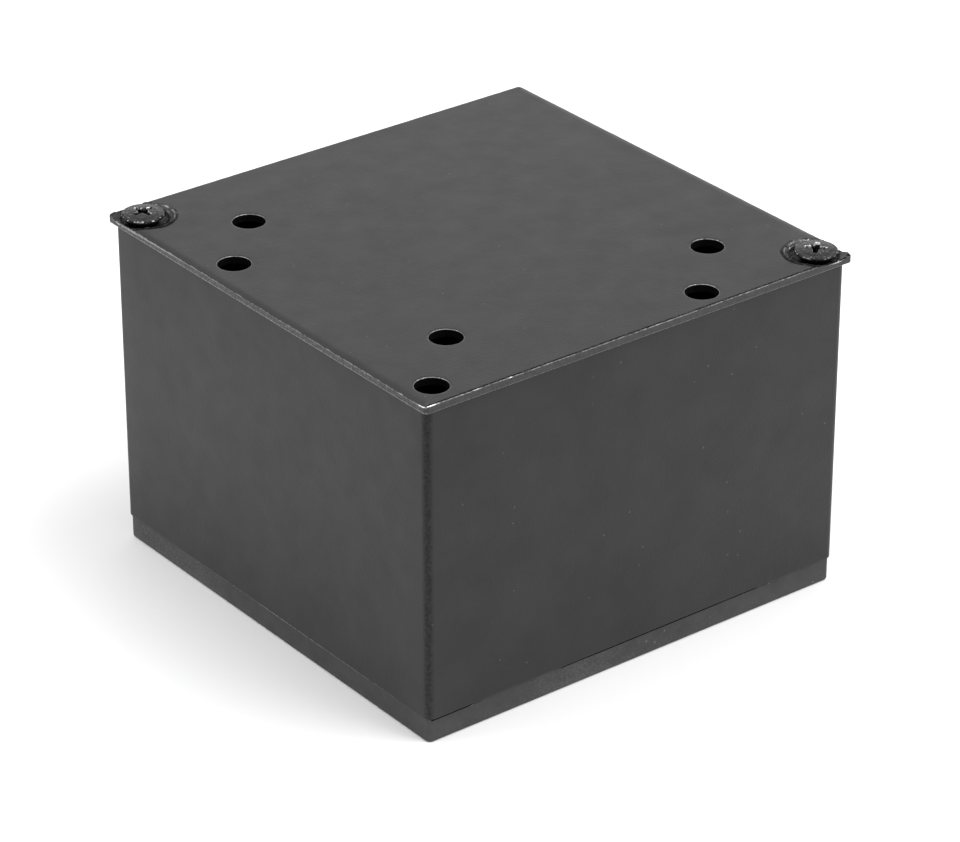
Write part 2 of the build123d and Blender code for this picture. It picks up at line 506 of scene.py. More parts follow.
def blackened_steel(name):
    """Satin black steel, bright where the mesh says that something rubbed it, and painted black as painted shade where
    the mesh asks for it.
    """
    paint, tree, coords = new_paint(name)
    colour = patchy_tone(tree, coords, grey(0.005), grey(0.03, 0.001), 0.45)
    colour = over(tree, speck_mask(tree, coords, spacing=0.8, size=0.4, share=0.4), colour, grey(FLECK_TONE))
    worn_and_highlit = field_mask(tree, coords, "wear", 0.7, start=0.5, rise=0.1)
    colour = over(tree, worn_and_highlit, colour, grey(RUBBED_TONE))
    # painted shade deep in the recess
    painted_shade = field_mask(tree, coords, "painted_shade", 0.6, start=0.3, rise=0.15)
    return finish_paint(paint, {
        **painted_shade_look(tree, painted_shade, colour, STEEL_SHINE),
        "Metallic": worn_and_highlit,
        "Roughness": 0.33,
        "Normal": grain_bump(tree, coords, [(0.8, 0.08), (0.35, 0.1)]),
    })


def shaded_wall(name):
    """The thin coat inside the punched holes, painted nearly black as painted shade, which gives back almost no light.
    """
    paint, tree, coords = new_paint(name)
    tone = patchy_tone(tree, coords, grey(PAINTED_SHADE_TONE), grey(2 * PAINTED_SHADE_TONE), 1.0)
    lint = over(tree, speck_mask(tree, coords, spacing=1.8, size=0.22, share=0.12), tone, grey(LINT_TONE))
    return finish_paint(paint, {"Base Color": lint, "Roughness": 0.9, "Specular IOR Level": DULL_SHINE})


cap_plastic = moulded_plastic("cap_plastic")
screw_steel = blackened_steel("screw_steel")
painted_hole_shade = shaded_wall("painted_hole_shade")
print("other finishes:", cap_plastic.name, screw_steel.name, painted_hole_shade.name)

# %% [markdown]
# ## Growing meshes with Geometry Nodes
# A tree of geometry nodes is a recipe with named inputs. The helpers below start such a tree, take steps that several
# trees share, and bake it: the recipe is put on an object as a modifier, its inputs are set, the result is copied into
# a plain mesh, and the object with the modifier is thrown away. The lesson uses recipes where a rule says it all: a
# section swept round a square, walls and ribs that repeat, a thread that winds, and two screws from one.

# %% Growing meshes with Geometry Nodes


def new_recipe(name, sizes, counts=()):
    """A geometry tree with a mesh input, an input for each size and count, and a material input."""
    tree = bpy.data.node_groups.new(name, "GeometryNodeTree")
    inputs = [("Mesh", "Geometry")] + [(label, "Float") for label in sizes]
    inputs += [(label, "Int") for label in counts] + [("Paint", "Material")]
    for label, kind in inputs:
        tree.interface.new_socket(label, in_out="INPUT", socket_type="NodeSocket" + kind)
    tree.interface.new_socket("Mesh", in_out="OUTPUT", socket_type="NodeSocketGeometry")
    return tree, tree.nodes.new("NodeGroupInput").outputs


def finish_recipe(tree, geometry_socket, paint_socket):
    """Makes instances real, sets the material and ends the tree."""
    real = add_node(tree, "GeometryNodeRealizeInstances", {"Geometry": geometry_socket})
    painted = add_node(tree, "GeometryNodeSetMaterial", {"Geometry": real.outputs[0], "Material": paint_socket})
    add_node(tree, "NodeGroupOutput", {0: painted.outputs[0]})


def half_of(tree, socket):
    """A number halved."""
    return add_math(tree, "MULTIPLY", socket, 0.5)


def rounded_rectangle(tree, width, height, radius, steps):
    """A rectangular curve whose corners are rounded in this many steps."""
    rectangle = add_node(tree, "GeometryNodeCurvePrimitiveQuadrilateral", {"Width": width, "Height": height})
    rounds = {"Curve": rectangle.outputs[0], "Radius": radius, "Count": steps}
    return add_node(tree, "GeometryNodeFilletCurve", rounds, mode="POLY").outputs[0]


def swept(tree, path, section, capped=False):
    """A section swept along a path."""
    curves = {"Curve": path, "Profile Curve": section, "Fill Caps": capped}
    return add_node(tree, "GeometryNodeCurveToMesh", curves).outputs[0]


def moved(tree, geometry_socket, offset):
    """Geometry moved by a vector."""
    return add_node(tree, "GeometryNodeTransform", {"Geometry": geometry_socket, "Translation": offset}).outputs[0]


def set_in_row(tree, instance, count, start, step, turn):
    """Copies of an instance in a straight row, each turned about Z by turn times its number, and by the first turn."""
    row = add_node(tree, "GeometryNodeMeshLine", {"Count": count, "Start Location": start, "Offset": step})
    number = add_node(tree, "GeometryNodeInputIndex").outputs[0]
    first_turn, turn_step = turn
    angle = add_math(tree, "ADD", add_math(tree, "MULTIPLY", number, turn_step), first_turn)
    return add_node(tree, "GeometryNodeInstanceOnPoints", {
        "Points": row.outputs[0], "Instance": instance, "Rotation": add_vector(tree, z=angle),
    }).outputs[0]


def grow(tree, sizes, others, mesh=None):
    """The plain mesh that a recipe makes with these sizes in millimetres and these other values."""
    values = {**{label: size * MM for label, size in sizes.items()}, **others}
    start = bpy.data.objects.new("seed_" + tree.name, mesh or bpy.data.meshes.new("empty"))
    scene.collection.objects.link(start)
    modifier = start.modifiers.new("recipe", "NODES")
    modifier.node_group = tree
    for socket in tree.interface.items_tree:
        if socket.in_out == "INPUT" and socket.name in values:
            modifier[socket.identifier] = values[socket.name]
    ready = start.evaluated_get(bpy.context.evaluated_depsgraph_get())
    result = bpy.data.meshes.new_from_object(ready)
    result.name = tree.name
    bpy.data.objects.remove(start)
    return result


def joined(meshes, name):
    """One mesh from several, all in the first one's material."""
    shape = bmesh.new()
    for mesh in meshes:
        shape.from_mesh(mesh)
    for face in shape.faces:
        face.material_index = 0
    whole = bpy.data.meshes.new(name)
    for paint in meshes[0].materials:
        whole.materials.append(paint)
    shape.to_mesh(whole)
    shape.free()
    return whole


print("recipes before the first one:", len(bpy.data.node_groups))

# %% [markdown]
# ## The tube
# The body is a length of extruded square tube, sawn at both ends and coated. Its shape is a rule: the section of one
# wall, swept round a square with rounded corners. A box with a bevel would look alike from outside, but the sweep
# gives the inner wall and the sawn ends in one go, and the small arris at the foot that catches a line of light. Two
# corners of the real extrusion carry a round screw port with a slot. Their outline is drawn once and stretched upward.

# %% The tube
TUBE_WALL = 1.2
TUBE_CORNER_RADIUS = 1.7
TUBE_ARRIS = 0.16

tube_recipe, tube_in = new_recipe("tube_sweep", ["Side", "Wall", "Corner Radius", "Arris", "Length", "Foot"])
path_side = add_math(tube_recipe, "SUBTRACT", tube_in["Side"], tube_in["Wall"])
path_radius = add_math(tube_recipe, "SUBTRACT", tube_in["Corner Radius"], half_of(tube_recipe, tube_in["Wall"]))
path = rounded_rectangle(tube_recipe, path_side, path_side, path_radius, 10)
section = rounded_rectangle(tube_recipe, tube_in["Wall"], tube_in["Length"], tube_in["Arris"], 4)
middle = add_math(tube_recipe, "ADD", half_of(tube_recipe, tube_in["Length"]), tube_in["Foot"])
raised = moved(tube_recipe, swept(tube_recipe, path, section), add_vector(tube_recipe, z=middle))
finish_recipe(tube_recipe, raised, tube_in["Paint"])

tube_walls = grow(tube_recipe, {
    "Side": tube_high.x - tube_low.x,
    "Wall": TUBE_WALL,
    "Corner Radius": TUBE_CORNER_RADIUS,
    "Arris": TUBE_ARRIS,
    "Length": tube_high.z - tube_low.z,
    "Foot": tube_low.z,
}, {"Paint": tube_coat})
print("tube walls:", [round(v / MM, 2) for v in tube_walls.vertices[0].co], len(tube_walls.vertices), "points")

# %% Screw ports
PORT_BORE_RADIUS = 1.75
PORT_RADIUS = 3.0
PORT_SLOT_HALF = 0.75
PORT_FOOT_GAP = 0.02                  # the ports stop short of the tube's sawn ends
PORT_TOP_GAP = 0.4


def arc(radius, start, end, steps):
    """Points along an arc about the origin, between two angles."""
    angles = [start + (end - start) * step / steps for step in range(steps + 1)]
    return [(radius * math.cos(a), radius * math.sin(a)) for a in angles]


def port_outline(steps=20):
    """A round port with a slot towards +X."""
    outer_gap = math.asin(PORT_SLOT_HALF / PORT_RADIUS)
    inner_gap = math.asin(PORT_SLOT_HALF / PORT_BORE_RADIUS)
    outer = arc(PORT_RADIUS, outer_gap, 2 * math.pi - outer_gap, steps)
    return outer + arc(PORT_BORE_RADIUS, 2 * math.pi - inner_gap, inner_gap, steps)


def stretched_up(outline, x, y, turn, bottom, top):
    """Points and faces of an outline turned, moved to a place and stretched from bottom to top."""
    rotation = Matrix.Rotation(turn, 2)
    placed = [rotation @ Vector(p) + Vector((x, y)) for p in outline]
    count = len(placed)
    points = [(p.x, p.y, z) for z in (bottom, top) for p in placed]
    triangles = geometry.tessellate_polygon([[Vector((p.x, p.y, 0)) for p in placed]])
    faces = [tuple(triangle) for triangle in triangles]
    faces += [tuple(i + count for i in triangle) for triangle in triangles]
    return points, faces + bridge(0, count, count)


ports = []
for x, y in SCREWS:
    inward = math.atan2(-y, -x)
    reach = (tube_low.z + PORT_FOOT_GAP, tube_high.z - PORT_TOP_GAP)
    ports.append(make_mesh("port", *stretched_up(port_outline(), x, y, inward, *reach)))
tube_mesh = finish_mesh(joined([tube_walls] + ports, "tube_body"), 30.0, merge=True)
print("tube with ports:", len(tube_mesh.vertices), "points")

# %% Wear and painted shade on the tube
# Wear is a value per point, so the long walls get a ring of points near the foot, and cuts across
FOOT_WEAR_HEIGHT = 0.5
CUT_STEP = 7.0
# how dark the upright corners are painted, as painted shade
CORNER_PAINTED_SHADE = 1.25
FOOT_WEAR = 0.3                       # elsewhere than on the left side
LEFT_FOOT_WEAR = 0.35                 # at least, and twice as much around the middle of the worn stretch
WORN_STRETCH = (-10, 32)              # its middle along Y and half its length
shape = bmesh.new()
shape.from_mesh(tube_mesh)
cuts = [(Vector((0, 0, tube_low.z + FOOT_WEAR_HEIGHT)), Vector((0, 0, 1)))]
cuts += [(Vector((0, CUT_STEP * step, 0)), Vector((0, 1, 0))) for step in range(-6, 7)]
for place, normal in cuts:
    everything = list(shape.verts) + list(shape.edges) + list(shape.faces)
    bmesh.ops.bisect_plane(shape, geom=everything, plane_co=place * MM, plane_no=normal, dist=WELD * MM)
shape.to_mesh(tube_mesh)
shape.free()


def foot_wear(place):
    """How bare the tube's sawn arris is: most along the front half of the left side."""
    outside = max(abs(place.x), abs(place.y)) > tube_high.x - TUBE_ARRIS - SLACK
    if not outside or place.z > tube_low.z + TUBE_ARRIS + SLACK:
        return 0.0
    if place.x > -tube_high.x + TUBE_CORNER_RADIUS:
        return FOOT_WEAR
    return LEFT_FOOT_WEAR * (1 + band(place.y, WORN_STRETCH, 4))


def painted_corner_shade(place):
    """How dark the coat is painted over the rounded upright corners, without shine: painted shade."""
    straight = tube_high.x - TUBE_CORNER_RADIUS
    beyond = Vector((abs(place.x) - straight, abs(place.y) - straight))
    if min(beyond) <= 0:
        return 0.0
    return CORNER_PAINTED_SHADE * 2 * beyond.x * beyond.y / beyond.length_squared


set_field(tube_mesh, "wear", [foot_wear(vertex.co / MM) for vertex in tube_mesh.vertices])
# painted shade over the upright corners
set_field(tube_mesh, "painted_shade", [painted_corner_shade(vertex.co / MM) for vertex in tube_mesh.vertices])
add_piece("tube_body", tube_mesh, "leg_tube", [tube_coat])

# %% [markdown]
# ## The plate
# The plate is blanked from 1.6 mm sheet. A blanking die rolls the upper edge down before it shears the metal, so the
# top bends down over the last millimetre and ends in a sharp, slightly wavy arris that catches the light. The holes
# have the same rolled rim. At two corners a countersink was driven in for the screws, and it tore the coat and pushed
# up a ragged lip. A box with bevels can't show any of that. So the top is a height for every point: rings of points
# follow the outline, the holes and the seats, a triangulation joins them, and a formula gives each point its height.

# %% Heights on the plate
PLATE_HALF = plate_high.x
PLATE_TOP = plate_high.z
PLATE_CORNER_RADIUS = 0.9
ROLL_WIDTHS = (1.6, 0.5)              # on the two sides that face along X, and on the two along Y
ROLL_SLOPE = 0.34                     # where the roll ends in the arris
ARRIS = 0.1
EDGE_WAVE = 0.07                      # how far the arris wanders inward
BEAD_HEIGHT = 0.03                    # the coat gathers in beads along the arris
HOLE_ROLL_WIDTH = 0.5
HOLE_ROLL_DEPTH = 0.12
HOLE_ARRIS = 0.08
SEAT_RADIUS = 5.75
SEAT_BORE = 2.5
SEAT_DEPTH = 1.2
SEAT_SHIFT = 0.3                      # the countersink ran a little inside the screw's axis
LIP_HEIGHT = 0.16
LIP_WIDTH = 0.24
CRINKLE_DEPTH = 0.17
CRINKLE_FROM = 3.2                    # crinkles fade in from this distance to the seat's centre
CRINKLE_BEYOND = 0.45                 # and end this far beyond the lip,
CRINKLE_FADE = 0.6                    # fading out over this length
SEAT_INFLUENCE = 2.2                  # further than this beyond its radius a seat changes nothing
SEAT_SEED = 11.0                      # sets the two seats' noises apart


def fall(distance, reach):
    """1 where the distance is 0, falling evenly to 0 at the reach."""
    return max(0.0, 1 - distance / reach)


def rounded_arris(distance, radius):
    """How far a rounded arris lies below the corner it replaces, by the distance from the wall."""
    return radius * (1 - math.sqrt(1 - fall(distance, radius) ** 2))


def edge_drop(distance, out, place):
    """How far the top lies below its flat level, by the distance from the outline and the way that faces."""
    width = ROLL_WIDTHS[0] * out.x ** 2 + ROLL_WIDTHS[1] * out.y ** 2
    bead = BEAD_HEIGHT * wander(place, 0.8, 5.3) * fall(distance, 0.3)
    return ROLL_SLOPE * width / 2 * fall(distance, width) ** 2 + rounded_arris(distance, ARRIS) - bead


def edge_wave(place):
    """How far the arris wanders inward here, from 0 to EDGE_WAVE."""
    return EDGE_WAVE * limited(0.45 + 0.5 * wander(place, 6.0, 3.1) + 0.4 * wander(place, 1.3, 8.7))


def hole_drop(distance):
    """How far the top lies below its flat level, by the distance from a hole's wall."""
    return HOLE_ROLL_DEPTH * fall(distance, HOLE_ROLL_WIDTH) ** 2 + rounded_arris(distance, HOLE_ARRIS)


def seat_centre(x, y):
    """Where the countersink stood, a little nearer to the middle of the plate than the screw."""
    return Vector((x - math.copysign(SEAT_SHIFT, x), y - math.copysign(SEAT_SHIFT, y)))


def ripple(ray, pace, level):
    """A noise that changes with the direction from a seat's centre, the quicker the larger its pace."""
    return noise.noise(Vector((ray.x * pace, ray.y * pace, level)))


def torn_lip(number, ray):
    """How far a seat's torn lip is from the seat's centre in this direction."""
    outward = max(0.0, ray.dot(Vector(SCREWS[number]).normalized()))
    return SEAT_RADIUS + 0.3 * ripple(ray, 2.6, SEAT_SEED * (number + 1)) + 0.5 * outward ** 4


def seat_height(place):
    """Height of the torn seats above the flat level, negative in the dish and 0 away from it."""
    height = 0.0
    for number, (x, y) in enumerate(SCREWS):
        arm = place - seat_centre(x, y)
        radius = arm.length
        if radius > SEAT_RADIUS + SEAT_INFLUENCE:
            continue
        ray = arm / max(radius, 1e-6)
        seed = SEAT_SEED * (number + 1)
        lip_radius = torn_lip(number, ray)
        share = limited((radius - SEAT_BORE) / (lip_radius - SEAT_BORE))
        dish = -SEAT_DEPTH * (1 - share ** 2.0)
        lip = LIP_HEIGHT * (1 + ripple(ray, 3.5, seed + 4)) * hump(radius - lip_radius, LIP_WIDTH)
        crinkle = ripple(ray, 5.5, radius * 1.9 + seed) + 0.5 * ripple(ray, 13, radius * 4.0 + seed)
        shown = limited(radius - CRINKLE_FROM) * limited((lip_radius + CRINKLE_BEYOND - radius) / CRINKLE_FADE)
        height += dish + lip + CRINKLE_DEPTH * shown * (0.5 - 2 * abs(crinkle))
    return height


print("drop at a hole's wall:", round(hole_drop(0), 3), "mm")
print("bottom of a seat:", round(seat_height(seat_centre(*SCREWS[0])), 2), "mm")

# %% Distances on the plate


def inside_by(place):
    """Distance inward from the plate's outline."""
    straight = PLATE_HALF - PLATE_CORNER_RADIUS
    beyond = Vector((max(abs(place.x) - straight, 0), max(abs(place.y) - straight, 0)))
    if beyond.length > 0:
        return PLATE_CORNER_RADIUS - beyond.length
    return PLATE_HALF - max(abs(place.x), abs(place.y))


def hole_gap(place):
    """Distance from the nearest fixing hole's wall."""
    return min((place - Vector(hole)).length for hole in HOLES) - HOLE_RADIUS


def seat_gap(place):
    """Distance from the nearest seat's centre."""
    return min((place - seat_centre(x, y)).length for x, y in SCREWS)


print("the first screw is", round(inside_by(Vector(SCREWS[0])), 2), "mm inside the plate's outline")

# %% Wear, painted highlight and painted shade on the plate
KNOCK_WIDTH = 0.22
# The next three say where shade is painted black on the plate's top.
PAINTED_SHADE_LINE = (0.14, 0.5)               # between these distances inside the right edge
LIP_PAINTED_SHADE = (0.3, 0.26)                # where the outer ring is, beyond the torn lip, and its half width
DISH_PAINTED_SHADE = (4.6, 0.35)               # where the inner ring is, from the seat's centre, and its half width
UPPER_RIDGE = (-0.2, 0.17)            # the same for the bare ridges: the upper one from the lip
LOWER_RIDGE = (5.05, 0.12)            # and the lower one from the centre
EDGE_KNOCKS = [
    # where the arris was knocked bare, how far that spreads, and how strong it is
    (Vector((-48.6, -50.0)), 1.4, 1.7),
    (Vector((-50.0, -48.9)), 1.1, 1.6),
    (Vector((-49.9, -49.9)), 0.6, 1.4),
    (Vector((-50.0, 46.2)), 0.8, 1.6),
    (Vector((46.4, -50.0)), 0.6, 1.7),
    (Vector((-50.0, -42.8)), 0.5, 1.3),
    (Vector((-38.5, -50.0)), 0.5, 1.4),
    (Vector((-31.0, -50.0)), 0.4, 1.2),
]


def edge_wear(distance, place, out):
    """How bare the arris is: in beads all along it, and rubbed bright where the plate was knocked."""
    corner = min(abs(out.x), abs(out.y))
    strength = 0.8 if out.x < -0.8 else 0.98
    line = fall(distance, ARRIS) ** 0.7 * (strength + 0.9 * wander(place, 0.7, 1.9) + 0.8 * corner)
    if seat_gap(place) < SEAT_RADIUS + 0.3:
        line *= 0.4
    knock = sum(force * hump((place - spot).length, spread) for spot, spread, force in EDGE_KNOCKS)
    return line + knock * fall(distance, KNOCK_WIDTH)


def lip_offset(place):
    """Distance outward from the torn lip of the nearest seat, and from that seat's centre."""
    number = min((0, 1), key=lambda i: (place - seat_centre(*SCREWS[i])).length)
    arm = place - seat_centre(*SCREWS[number])
    radius = max(arm.length, 1e-6)
    return radius - torn_lip(number, arm / radius), radius


def painted_shade_amount(place):
    """How black the coat is painted, as painted shade: in a thin line inside the right edge, and in two broken rings
    round each seat.
    """
    nearest, furthest = PAINTED_SHADE_LINE
    right_edge = 0.95 if nearest < PLATE_HALF + place.y < furthest else 0.0
    beyond_lip, radius = lip_offset(place)
    rings = max(1.5 * band(beyond_lip, LIP_PAINTED_SHADE), 1.4 * band(radius, DISH_PAINTED_SHADE))
    return max(right_edge, rings * (1 + 0.8 * wander(place, 0.9, 6.2)))


def ridge_wear(place):
    """How bare the two ridges are that the countersink pushed up, one just inside the torn lip and one lower down."""
    beyond_lip, radius = lip_offset(place)
    patches = 0.9 * wander(place, 1.6, 4.4)
    upper = (0.75 + patches) * band(beyond_lip, UPPER_RIDGE)
    lower = (0.6 - patches) * band(radius, LOWER_RIDGE)
    return max(0.0, upper, lower)


print("wear of the front corner's arris:", round(edge_wear(0.0, Vector((-49.9, -49.9)), Vector((-0.7, -0.7))), 1))

# %% The plate's points
SIDE_STEPS = 360
EDGE_RINGS = (0.0, 0.015, 0.045, 0.1, 0.17, 0.28, 0.42, 0.6, 0.85, 1.15, 1.5, 1.9)
RIM_RINGS = (0.0, 0.012, 0.035, 0.08, 0.14, 0.22, 0.32, 0.42, 0.55)
HOLE_STEPS = 72
SEAT_STEP = 0.13
SEAT_REACH = 6.9
GRID_STEP = 2.5


class Sheet:
    """Points of one face of the plate with their heights and their wear, which in places is painted highlight, and the
    loops that bound it.
    """

    def __init__(self):
        self.flat = []
        self.height = []
        self.wear = []
        self.loops = []

    def add(self, x, y, height, wear=0.0):
        self.flat.append(Vector((x, y)))
        self.height.append(height)
        self.wear.append(wear)

    def add_loop(self, points, height, wear=0.0):
        start = len(self.flat)
        for x, y in points:
            self.add(x, y, height, wear)
        self.loops.append((start, len(self.flat) - start))


top = Sheet()
for number, ring in enumerate(EDGE_RINGS):
    radius = max(PLATE_CORNER_RADIUS - ring, 0.04)
    first = len(top.flat)
    for place, out in square_loop(PLATE_HALF - ring, radius, SIDE_STEPS, 6):
        spot = place - out * edge_wave(place) * fall(ring, 1.0)
        height = PLATE_TOP - edge_drop(ring, out, spot) + seat_height(spot)
        top.add(spot.x, spot.y, height, edge_wear(ring, place, out))
    if number == 0:
        top.loops.append((first, len(top.flat) - first))
for x, y in HOLES:
    for number, ring in enumerate(RIM_RINGS):
        height = PLATE_TOP - hole_drop(ring)
        start = len(top.flat)
        for u, v in circle_loop(x, y, HOLE_RADIUS + ring, HOLE_STEPS):
            # The side of each hole towards the front corner faces the camera and gets more wear, which paints a
            # highlight on the near rim
            near_rim_highlight = max(0.0, x + y - u - v) / HOLE_RADIUS / math.sqrt(2)
            top.add(u, v, height, (1.2 + 0.6 * near_rim_highlight) * fall(ring, 0.2))
        if number == 0:
            top.loops.append((start, HOLE_STEPS))
print("points on rims and edges:", len(top.flat))

# %% The seats and the flat between
for x, y in SCREWS:
    centre = seat_centre(x, y)
    top.add_loop(circle_loop(x, y, SEAT_BORE, 60), PLATE_TOP - SEAT_DEPTH)
    radius = SEAT_BORE + 2 * SEAT_STEP
    while radius < SEAT_REACH:
        steps = int(2 * math.pi * radius / SEAT_STEP)
        for u, v in circle_loop(centre.x, centre.y, radius, steps):
            spot = Vector((u, v))
            clear_of_bore = (spot - Vector((x, y))).length > SEAT_BORE + SEAT_STEP
            if inside_by(spot) > EDGE_RINGS[-1] + 0.05 and clear_of_bore:
                top.add(u, v, PLATE_TOP + seat_height(spot), ridge_wear(spot))
        radius += SEAT_STEP
steps = int((2 * PLATE_HALF - 4) / GRID_STEP)
for column in range(steps + 1):
    for row in range(steps + 1):
        spot = Vector((column, row)) * GRID_STEP - Vector((steps, steps)) * GRID_STEP / 2
        if hole_gap(spot) > 1.0 and seat_gap(spot) > SEAT_REACH + 0.6:
            top.add(spot.x, spot.y, PLATE_TOP)
print("points on the top:", len(top.flat))

# %% The plate's faces
PLATE_BOTTOM = plate_low.z
LOWER_ARRIS = 0.12


def triangles_between(sheet, is_solid):
    """Triangles over a sheet's points that keep its loops, without those whose middle isn't metal."""
    edges = [(s + i, s + (i + 1) % n) for s, n in sheet.loops for i in range(n)]
    found = geometry.delaunay_2d_cdt(sheet.flat, edges, [], 0, 1e-6)
    new_points, new_faces, sources = found[0], found[2], found[3]
    assert all(source for source in sources), "two outlines cross"
    triangles = []
    for face in new_faces:
        middle = sum((new_points[i] for i in face), Vector((0, 0))) / 3
        if is_solid(middle):
            triangles.append(tuple(sources[i][0] for i in face))
    return triangles


def is_metal(place):
    """True where the plate isn't pierced."""
    in_seat_bore = any((place - Vector(screw)).length < SEAT_BORE - SLACK for screw in SCREWS)
    return hole_gap(place) > -SLACK and not in_seat_bore and inside_by(place) > -SLACK


bottom = Sheet()
for start, count in top.loops:
    bottom.add_loop(top.flat[start:start + count], PLATE_BOTTOM)
for index in range(bottom.loops[0][1]):
    bottom.flat[index] *= 1 - LOWER_ARRIS / PLATE_HALF
points = [(p.x, p.y, z) for sheet in (top, bottom) for p, z in zip(sheet.flat, sheet.height)]
faces = triangles_between(top, is_metal)
offset = len(top.flat)
faces += [tuple(i + offset for i in face) for face in triangles_between(bottom, is_metal)]
wear = top.wear + bottom.wear
print("sheet triangles:", len(faces))

# %% The plate's edges and walls
LIT_LEFT_SIDE = 0.45                   # least wear on the left side, which paints that side lighter: painted light
SIDE_RINGS = (
    # where it is measured from, the distance, how far it is set in, and how bare it is
    ("below top", 0.05, 0.0, 0.5),
    ("below top", 0.12, 0.0, 0.0),
    ("above bottom", 0.26, 0.0, 0.0),
    ("above bottom", 0.12, 0.0, 0.5),
    ("above bottom", 0.06, 0.016, 0.7),
    ("above bottom", 0.03, 0.05, 0.5),
)
edge_from = len(faces)
up, count = top.loops[0]
above = up
for measured, distance, inset, bare in SIDE_RINGS:
    ring = []
    for index in range(up, up + count):
        spot = top.flat[index] * (1 - inset / PLATE_HALF)
        height = top.height[index] - distance if measured == "below top" else PLATE_BOTTOM + distance
        ring.append((spot.x, spot.y, height))
        on_left = spot.x < -PLATE_HALF + 0.5
        wear.append(max(1.7 * bare, LIT_LEFT_SIDE) if on_left else 1.3 * bare)
    above = add_ring(points, faces, above, ring)
faces += bridge(above, offset + bottom.loops[0][0], count)
walls_from = len(faces)
for (up, count), (down, _) in zip(top.loops[1:], bottom.loops[1:]):
    faces += bridge(up, offset + down, count)

plate_mesh = make_mesh("punched_plate", points, faces, 50.0)
# The sides get the lighter coat, which is painted light, and the hole walls the near black of painted shade.
plate_finishes = [plate_coat, lit_edge_coat, painted_hole_shade]
for finish in plate_finishes:
    plate_mesh.materials.append(finish)
for polygon in list(plate_mesh.polygons)[edge_from:]:
    polygon.material_index = 1 if polygon.index < walls_from else 2
set_field(plate_mesh, "wear", wear)
# painted shade on the top: a line inside the right edge and broken rings round the seats
painted_shade = [painted_shade_amount(Vector(point[:2])) if index < offset else 0.0 for index, point in enumerate(points)]
set_field(plate_mesh, "painted_shade", painted_shade)
add_piece("punched_plate", plate_mesh, "mounting_plate", plate_finishes)

# %% [markdown]
# ## The cap
# The foot is one plastic moulding: a flange that shows as a paler band under the tube, and a skirt with ribs that
# stands up inside it. The flange is a stack of square outlines, each with its own size and height, joined one to the
# next, which gives its two different rounds exactly. The skirt's four walls and their crush ribs repeat, so they are
# grown: one wall with its row of ribs, turned four times.

# %% The cap's flange
FLANGE_HALF = cap_high.x
FLANGE_TOP = tube_low.z
FLANGE_CORNER_RADIUS = 1.1
FLANGE_FLOOR = 2.4
LOWER_ROUND = 0.5
UPPER_ROUND = 0.25
FOOT_RIM = 9.0
FOOT_RECESS = 0.5
HOLLOW_HALF = 44.3
GROOVE_SHADOW_HEIGHT = 0.44                   # how far the painted shadow comes down from the groove under the tube


def quarter_round(radius, steps, rising):
    """Insets and heights of a round at the lower edge, or at the upper edge if rising is False."""
    angles = [math.radians(90 * step / steps) for step in range(steps + 1)]
    if rising:
        return [(radius * (1 - math.sin(a)), radius * (1 - math.cos(a))) for a in angles]
    return [(radius * (1 - math.cos(a)), radius * math.sin(a)) for a in angles]


stack = [(FLANGE_HALF - FOOT_RIM, FOOT_RECESS), (FLANGE_HALF - FOOT_RIM + 0.1, 0.0)]
stack += [(FLANGE_HALF - inset, height) for inset, height in quarter_round(LOWER_ROUND, 6, True)]
stack += [(FLANGE_HALF, 2.0), (FLANGE_HALF, 3.4)]
stack += [(FLANGE_HALF, FLANGE_TOP - GROOVE_SHADOW_HEIGHT - 0.12), (FLANGE_HALF, FLANGE_TOP - GROOVE_SHADOW_HEIGHT)]
stack += [(FLANGE_HALF - i, FLANGE_TOP - UPPER_ROUND + h) for i, h in quarter_round(UPPER_ROUND, 5, False)]
stack += [(HOLLOW_HALF, FLANGE_TOP), (HOLLOW_HALF, FLANGE_FLOOR)]
points = []
faces = []
for number, (half, height) in enumerate(stack):
    radius = max(0.3, FLANGE_CORNER_RADIUS - (FLANGE_HALF - half) * 0.5)
    loop = square_loop(half, min(radius, FLANGE_CORNER_RADIUS), 40, 10)
    points += [(p.x, p.y, height) for p, _ in loop]
    if number:
        faces += bridge((number - 1) * len(loop), number * len(loop), len(loop))
loop_count = len(loop)
faces.append(tuple(range(loop_count)))
faces.append(tuple(range(len(points) - loop_count, len(points))))
flange_mesh = make_mesh("cap_flange", points, faces, 40.0)
flange_mesh.materials.append(cap_plastic)
print("flange:", len(flange_mesh.vertices), "points in", len(stack), "outlines")

# %% Scuffs on the cap, and painted shadow under the tube
# how dark the painted shadow under the tube is, faint on most sides
FAINT_GROOVE_SHADOW = 0.45
GROOVE_SHADOW_STRETCHES = [(-48.7, 12), (6, 22)]    # middle along X, and half the length
KNOCKS = [
    # where the cap was knocked, and how far the scuffs spread, in millimetres
    (Vector((-48.7, 40.0)), 14.0),
    (Vector((-48.7, 24.0)), 9.0),
    (Vector((-14.0, -48.7)), 11.0),
]


def scuff_amount(place):
    """How scuffed the cap is here: a little everywhere, and more where it was knocked."""
    amount = 0.72
    for knock, spread in KNOCKS:
        amount += 0.35 * hump((place.xy - knock).length, spread)
    return amount if place.z > 0.6 else 1.2 * amount


def groove_shadow_amount(place):
    """Above 0 in the groove under the tube, where a shadow is painted: on the right in two stretches, and faint
    elsewhere.
    """
    outside = max(abs(place.x), abs(place.y)) > FLANGE_HALF - 1.5
    if not outside or place.z < FLANGE_TOP - GROOVE_SHADOW_HEIGHT - SLACK:
        return 0.0
    if place.y > -FLANGE_HALF + 0.1:
        return FAINT_GROOVE_SHADOW
    return 0.35 + 1.2 * max(band(place.x, stretch, 4) for stretch in GROOVE_SHADOW_STRETCHES)


print("scuffs at the left corner:", round(scuff_amount(Vector((-48.7, 40.0, 2.0))), 2))

